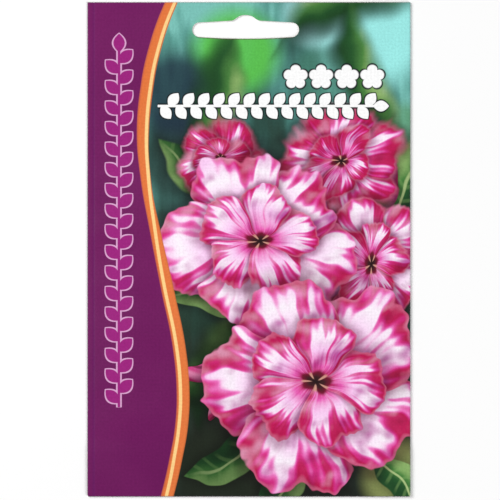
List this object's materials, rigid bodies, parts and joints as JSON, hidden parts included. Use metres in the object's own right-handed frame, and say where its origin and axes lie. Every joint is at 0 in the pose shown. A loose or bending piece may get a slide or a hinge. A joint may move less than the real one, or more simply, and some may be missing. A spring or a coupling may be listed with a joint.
{
  "type": "seed packet",
  "caption": "Flat folded paper seed packet with a hang slot in its glued header, a printed front and loose seeds in its pocket.",
  "frame": {"origin": "middle of the packet's outline, on the surface that its back lies on", "axes": "+X across the front to the right, +Y up the print towards the hang slot, +Z out of the front"},
  "size_m": [0.098, 0.15, 0.0036],
  "materials": {
    "printed_paper": "semi-gloss coated print outside, plain white inside",
    "seed_husk": "matt, finely ribbed"
  },
  "bodies": {
    "root": {"envelope": "printed_paper", "seed_1": "seed_husk", "seed_2": "seed_husk", "seed_3": "seed_husk", "seed_4": "seed_husk", "seed_5": "seed_husk"}
  },
  "joints": []
}
